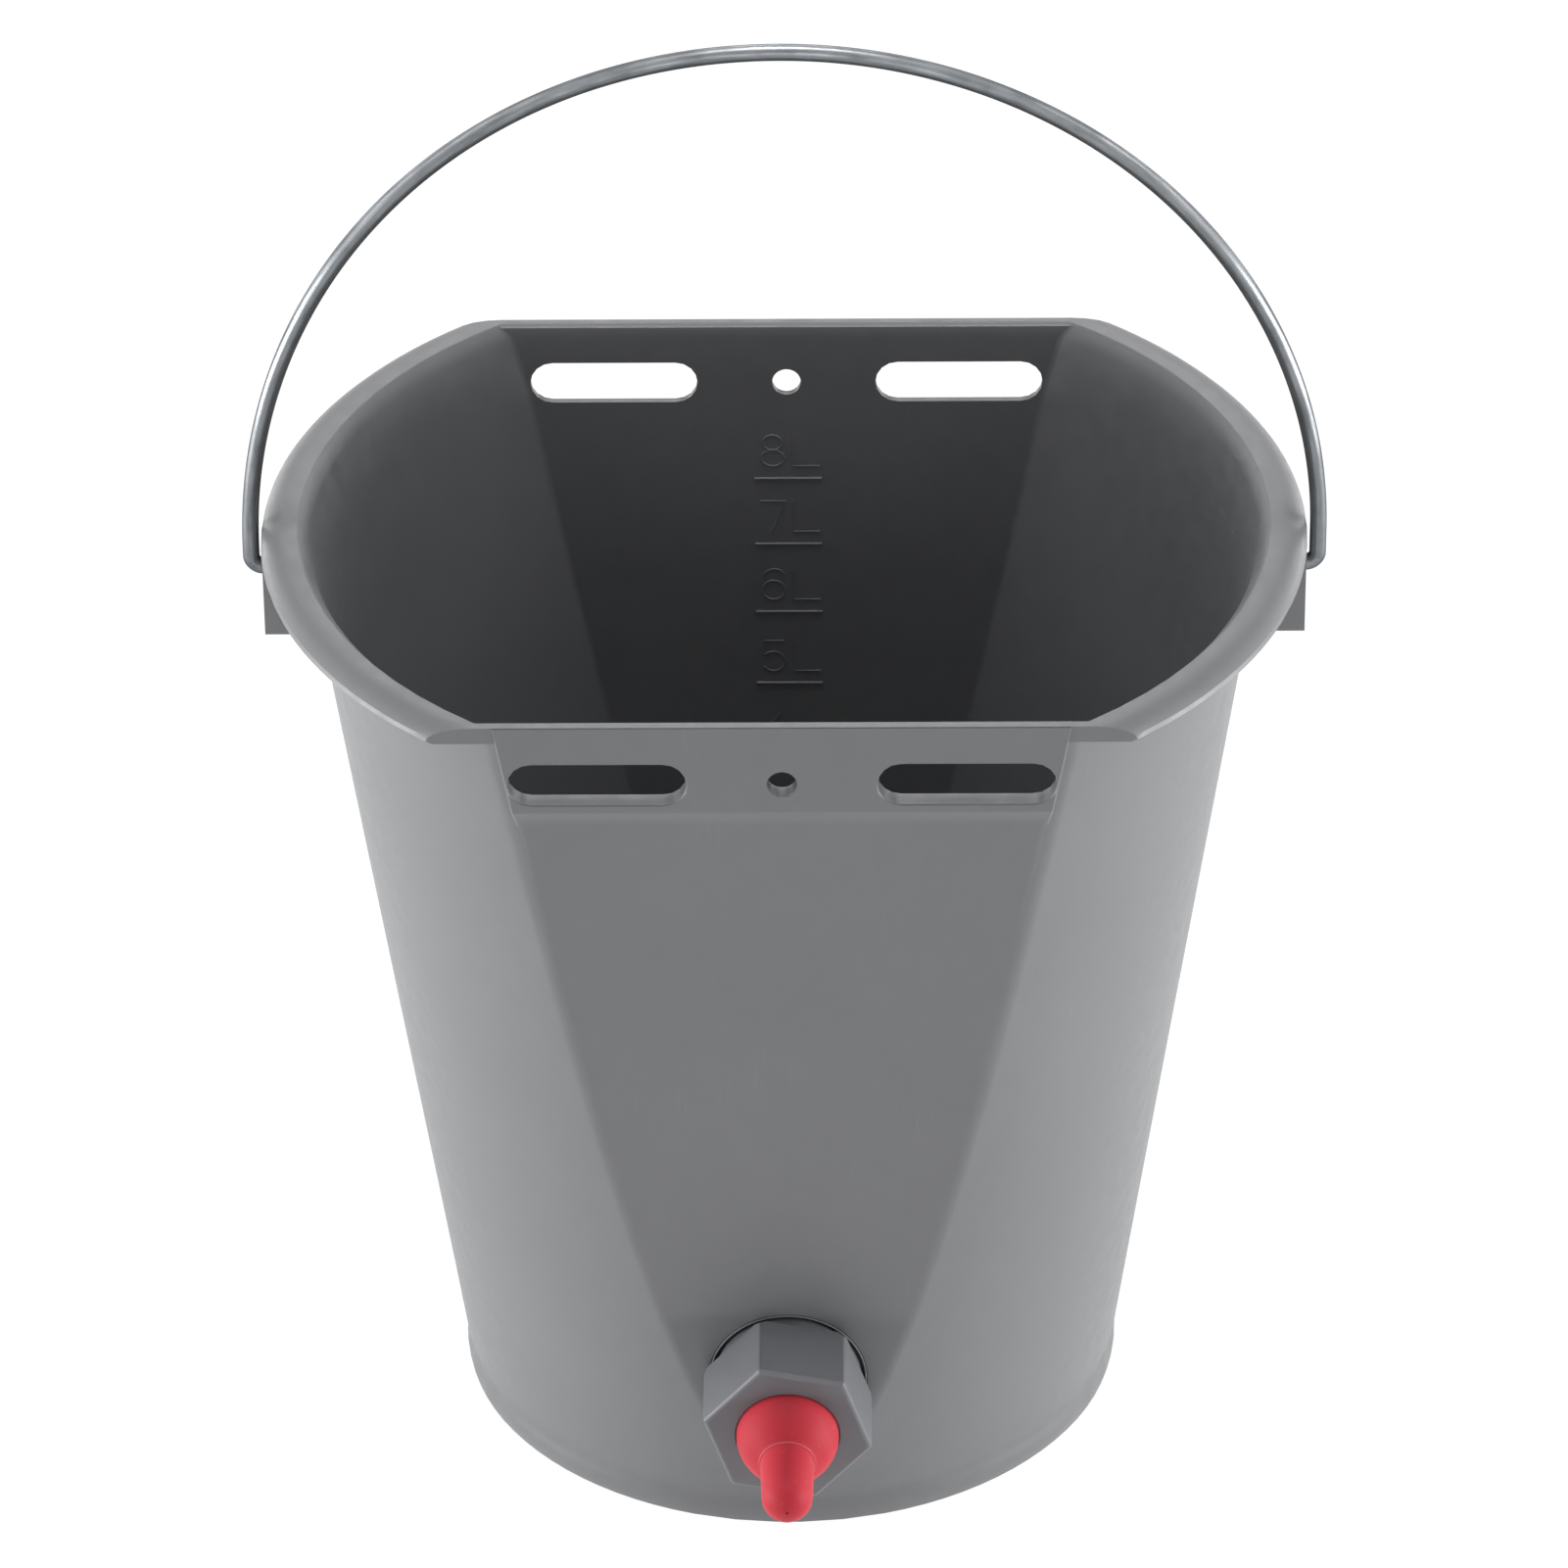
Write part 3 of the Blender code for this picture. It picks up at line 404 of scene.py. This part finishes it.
def makeRing(name):
    body, material, radius, distance, halfWidth = outlet[name]
    around, section = outlet["steps"]
    work = bmesh.new()
    upright = Matrix.Translation((radius, 0, 0)) @ Matrix.Rotation(pi / 2, 4, "X")
    bmesh.ops.create_circle(work, cap_ends=False, segments=section, radius=halfWidth, matrix=upright)
    bmesh.ops.spin(work, geom=work.verts[:] + work.edges[:], cent=(0, 0, 0), axis=(0, 0, 1),
                   angle=2 * pi, steps=around, use_merge=True, use_duplicate=False)
    bmesh.ops.remove_doubles(work, verts=work.verts, dist=weld)
    bmesh.ops.recalc_face_normals(work, faces=work.faces)
    bmesh.ops.transform(work, matrix=outletPlace(distance), verts=work.verts)
    mesh = bpy.data.meshes.new(name)
    work.to_mesh(mesh)
    work.free()
    mesh.shade_smooth()
    mesh.materials.append(bpy.data.materials[material])
    newObject(name, mesh, body)


# the pale ring paints a highlight at the nipple's root
makeRing("teatPaintedHighlightRing")
makeRing("recessRing")

print("stage: bail")
bail = {
    "pivotHeight": 0.2672,
    "halfSpan": 0.1512,         # middle of a leg from the middle
    "rise": 0.1639,             # pivot line to the middle of the wire at the top
    "corner": 0.0034,           # bend from a leg to its end
    "wireRadius": 0.0024,
    "headRadius": 0.0036,       # the ends are peened over inside the ears
    "headLength": 0.0020,
    "headEnd": 0.1446,
    "shoulders": {-1: (0.0059, 2.047), 1: (0.0111, 2.0)},   # side: start over the pivot, fullness
    "steps": 110, "cornerSteps": 12,
}


def bailSide(side):
    start, fullness = bail["shoulders"][side]
    head = bail["headRadius"] / bail["wireRadius"]
    end, length = bail["headEnd"], bail["headLength"]
    route = [((end - length) * side, 0.0, head * 0.82), ((end - length * 0.8) * side, 0.0, head),
             ((end - length * 0.2) * side, 0.0, head), (end * side, 0.0, head * 0.9),
             ((end + 0.0001) * side, 0.0, 1.0)]
    for step in range(bail["cornerSteps"] + 1):
        angle = pi / 2 * step / bail["cornerSteps"]
        across = bail["halfSpan"] - bail["corner"] * (1 - sin(angle))
        route.append((across * side, bail["corner"] * (1 - cos(angle)), 1.0))
    for step in range(1, bail["steps"]):
        angle = pi / 2 * step / bail["steps"]
        across = bail["halfSpan"] * cos(angle) ** (2 / fullness)
        height = start + (bail["rise"] - start) * sin(angle) ** (2 / fullness)
        if height > bail["corner"] + bail["wireRadius"] / 2:
            route.append((across * side, height, 1.0))
    return route


def makeBail():
    route = bailSide(-1) + [(0.0, bail["rise"], 1.0)] + list(reversed(bailSide(1)))
    stroke = [((x, 0.0, bail["pivotHeight"] + height), thickness) for x, height, thickness in route]
    mesh = strokeMesh("bailWire", [stroke], bail["wireRadius"], 5)
    smoothByAngle(mesh, 40)
    mesh.materials.append(wire)
    newObject("bailWire", mesh, "bail", ("bail",))


makeBail()

print("stage: litre marks")
litreMarks = {
    "heights": {8: 232.4, 7: 210.4, 6: 187.4, 5: 163.0, 4: 138.4, 3: 112.4, 2: 84.9, 1: 55.5},   # mm
    "line": (-9.7, 10.1),       # its two ends across the panel
    "above": 4.2,               # from a line to the foot of its figure
    "figure": (-8.0, 7.4, 10.3),    # left edge, width and height
    "letter": (1.7, 7.9, 10.3),
    "strokeRadius": 0.00024,
    "lineThickness": 1.7,
}
panelThickness = 0.0022


def arc(across, up, width, height, first, last, steps=20):
    turns = [radians(first + (last - first) * step / steps) for step in range(steps + 1)]
    return [(across + width * cos(turn), up + height * sin(turn)) for turn in turns]


figures = {
    # strokes in a box one wide and one high
    1: [[(0.25, 0.80), (0.62, 1.0), (0.62, 0.0)]],
    2: [arc(0.50, 0.71, 0.42, 0.29, 170, -35) + [(0.06, 0.0), (1.0, 0.0)]],
    3: [arc(0.46, 0.75, 0.40, 0.25, 150, -90), arc(0.46, 0.25, 0.46, 0.25, 90, -150)],
    4: [[(0.72, 0.0), (0.72, 1.0), (0.0, 0.28), (1.0, 0.28)]],
    5: [[(0.90, 1.0), (0.10, 1.0), (0.08, 0.54)] + arc(0.47, 0.32, 0.46, 0.32, 132, -150)],
    6: [arc(0.50, 0.31, 0.46, 0.31, 0, 360), arc(0.52, 0.66, 0.48, 0.34, 25, 180) + [(0.04, 0.33)]],
    7: [[(0.0, 1.0), (1.0, 1.0), (0.46, 0.0)]],
    8: [arc(0.50, 0.76, 0.38, 0.24, 0, 360), arc(0.50, 0.26, 0.46, 0.26, 9, 369)],
}
letter = [[(0.0, 1.0), (0.0, 0.0), (1.0, 0.0)]]


def makeLitreMarks():
    strokes = []

    def add(points, left, foot, width, height, thickness=1.0):
        flat = [((left + x * width) / 1000, (foot + y * height) / 1000, 0.0) for x, y in points]
        strokes.append([(place, thickness) for place in flat])

    for count, height in litreMarks["heights"].items():
        level = height / cos(panelFace["lean"])
        left, right = litreMarks["line"]
        add([(0, 0), (1, 0)], left, level, right - left, 0, litreMarks["lineThickness"])
        foot = level + litreMarks["above"]
        for points in figures[count]:
            add(points, litreMarks["figure"][0], foot, *litreMarks["figure"][1:])
        for points in letter:
            add(points, litreMarks["letter"][0], foot, *litreMarks["letter"][1:])
    mesh = strokeMesh("litreMarks", strokes, litreMarks["strokeRadius"], 2)
    # drawn flat in millimetres up the panel, then stood up against its inside
    foot = Matrix.Translation((0, panelDistance(0) - panelThickness, 0))
    mesh.transform(foot @ Matrix.Rotation(pi / 2 - panelFace["lean"], 4, "X"))
    smoothByAngle(mesh, 40)
    mesh.materials.append(greyPlastic)
    newObject("litreMarks", mesh, "bucket")


makeLitreMarks()

print("stage: camera, lights and floor")
cameraSettings = {
    "place": (0.02325, -2.16795, 1.59080),
    "tiltDown": 32.817, "turn": -0.632, "roll": -0.542,     # degrees
    "lens": 205.43, "sensor": 36,       # mm
    "clip": (0.05, 50),
}


def makeCamera():
    down, turn, roll = (radians(cameraSettings[k]) for k in ("tiltDown", "turn", "roll"))
    ahead = Vector((sin(turn) * cos(down), cos(turn) * cos(down), -sin(down)))
    level = Vector((cos(turn), -sin(turn), 0))
    up = level.cross(ahead)
    right = cos(roll) * level + sin(roll) * up
    top = cos(roll) * up - sin(roll) * level
    data = bpy.data.cameras.new("camera")
    data.lens = cameraSettings["lens"]
    data.sensor_width = cameraSettings["sensor"]
    data.clip_start, data.clip_end = cameraSettings["clip"]
    camera = bpy.data.objects.new("camera", data)
    turned = Matrix((right, top, -ahead)).transposed().to_4x4()
    camera.matrix_world = Matrix.Translation(cameraSettings["place"]) @ turned
    scene.collection.objects.link(camera)
    scene.camera = camera


lamps = {
    # name: (place, width, height, power); an x of 0 means one lamp, else a pair left and right
    "lowSide": ((1.58, -0.22, 0.16), 1.1, 0.28, 24),
    "rearSide": ((1.34, 1.59, 0.44), 0.9, 0.9, 8.5),
    "highSide": ((1.72, 0.0, 1.35), 0.9, 0.9, 7.5),
    "overhead": ((0.0, 0.0, 2.45), 0.7, 0.7, 24),
    "front": ((0.0, -2.33, 0.73), 1.0, 0.8, 6),
    "rearHigh": ((0.0, 1.90, 1.45), 1.0, 0.7, 9),
}
lampAim = Vector((0, 0, 0.15))


def makeLamps():
    for name, (place, width, height, power) in lamps.items():
        for side in ((1, -1) if place[0] else (1,)):
            data = bpy.data.lights.new(name, "AREA")
            data.shape = "RECTANGLE"
            data.size, data.size_y = width, height
            data.energy = power
            lamp = bpy.data.objects.new(name, data)
            lamp.location = (side * place[0], *place[1:])
            lamp.rotation_euler = (lampAim - lamp.location).to_track_quat("-Z", "Y").to_euler()
            lamp.visible_camera = False
            scene.collection.objects.link(lamp)


def seenDirectly(tree):
    # 1 for camera, glossy and transmission rays, 0 for light that falls on the object
    path = tree.nodes.new("ShaderNodeLightPath")
    total = path.outputs["Is Camera Ray"]
    for name in ("Is Glossy Ray", "Is Transmission Ray"):
        node = tree.nodes.new("ShaderNodeMath")
        node.operation = "MAXIMUM"
        tree.links.new(total, node.inputs[0])
        tree.links.new(path.outputs[name], node.inputs[1])
        total = node.outputs[0]
    return total


worldSettings = {"ambient": 0.10, "white": 1.0}


def makeWorld():
    world = bpy.data.worlds.new("studio")
    scene.world = world
    world.use_nodes = True
    tree = world.node_tree
    tree.nodes.clear()
    ambient = tree.nodes.new("ShaderNodeBackground")
    ambient.inputs["Strength"].default_value = worldSettings["ambient"]
    ambient.inputs["Color"].default_value = (1, 1, 1, 1)
    white = tree.nodes.new("ShaderNodeBackground")
    white.inputs["Strength"].default_value = worldSettings["white"]
    white.inputs["Color"].default_value = (1, 1, 1, 1)
    mix = tree.nodes.new("ShaderNodeMixShader")
    out = tree.nodes.new("ShaderNodeOutputWorld")
    tree.links.new(seenDirectly(tree), mix.inputs[0])
    tree.links.new(ambient.outputs[0], mix.inputs[1])
    tree.links.new(white.outputs[0], mix.inputs[2])
    tree.links.new(mix.outputs[0], out.inputs[0])


floorSettings = {
    "radius": 12, "drop": 0.0003,
    "colour": "a8a8a8",
    "bounce": 0.72,             # light that the floor sends up to the object
    "glow": 0.8, "white": 1.03,     # share and strength of the white seen directly
}


def makeFloor():
    work = bmesh.new()
    bmesh.ops.create_circle(work, cap_ends=True, segments=64, radius=floorSettings["radius"])
    mesh = bpy.data.meshes.new("floor")
    work.to_mesh(mesh)
    work.free()
    floor = bpy.data.objects.new("floor", mesh)
    floor.location.z = -floorSettings["drop"]
    scene.collection.objects.link(floor)
    material = bpy.data.materials.new("paleFloor")
    material.use_nodes = True
    tree = material.node_tree
    matte = tree.nodes["Principled BSDF"]
    matte.inputs["Base Color"].default_value = linear(floorSettings["colour"])
    matte.inputs["Roughness"].default_value = 0.9
    matte.inputs["Specular IOR Level"].default_value = 0.0
    matte.inputs["Emission Color"].default_value = (1, 1, 1, 1)
    matte.inputs["Emission Strength"].default_value = floorSettings["bounce"]
    glow = tree.nodes.new("ShaderNodeEmission")
    glow.inputs["Strength"].default_value = floorSettings["white"]
    share = tree.nodes.new("ShaderNodeMath")
    share.operation = "MULTIPLY"
    share.inputs[1].default_value = floorSettings["glow"]
    tree.links.new(seenDirectly(tree), share.inputs[0])
    mix = tree.nodes.new("ShaderNodeMixShader")
    tree.links.new(share.outputs[0], mix.inputs[0])
    tree.links.new(matte.outputs[0], mix.inputs[1])
    tree.links.new(glow.outputs[0], mix.inputs[2])
    tree.links.new(mix.outputs[0], tree.nodes["Material Output"].inputs["Surface"])
    mesh.materials.append(material)


makeCamera()
makeLamps()
makeWorld()
makeFloor()
scene.view_settings.view_transform = "Standard"
